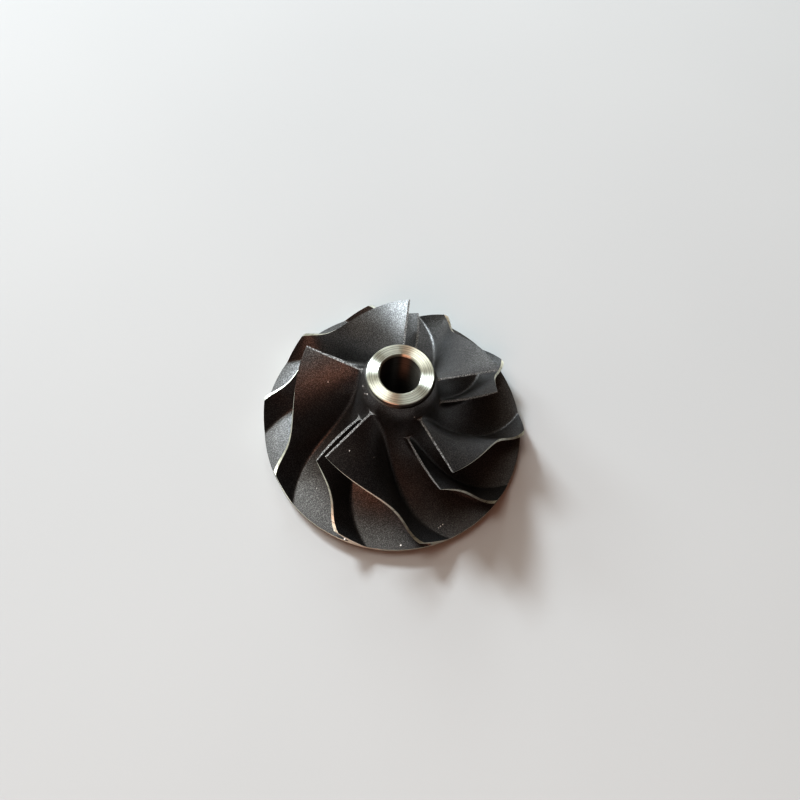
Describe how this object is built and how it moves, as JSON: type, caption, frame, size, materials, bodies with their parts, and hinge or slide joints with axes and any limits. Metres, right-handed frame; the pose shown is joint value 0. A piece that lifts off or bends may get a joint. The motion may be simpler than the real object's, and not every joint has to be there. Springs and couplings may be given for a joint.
{
  "type": "compressor wheel",
  "caption": "Open backswept centrifugal compressor wheel with full blades, splitters, a plain through bore and a flat back, for a small turbocharger.",
  "frame": {"origin": "on the bore's axis at the underside of the back boss", "axes": "+Z along the bore, towards the nose and the inlet; +Y towards the leading edge of the first full blade, to within 2 degrees; +X completes the right-handed frame"},
  "size_m": [0.043, 0.043, 0.0202],
  "materials": {
    "coated_aluminium": "matte black coated casting with bare machined nose, blade edges and rim"
  },
  "bodies": {
    "root": {"compressor_wheel": "coated_aluminium"}
  },
  "joints": []
}
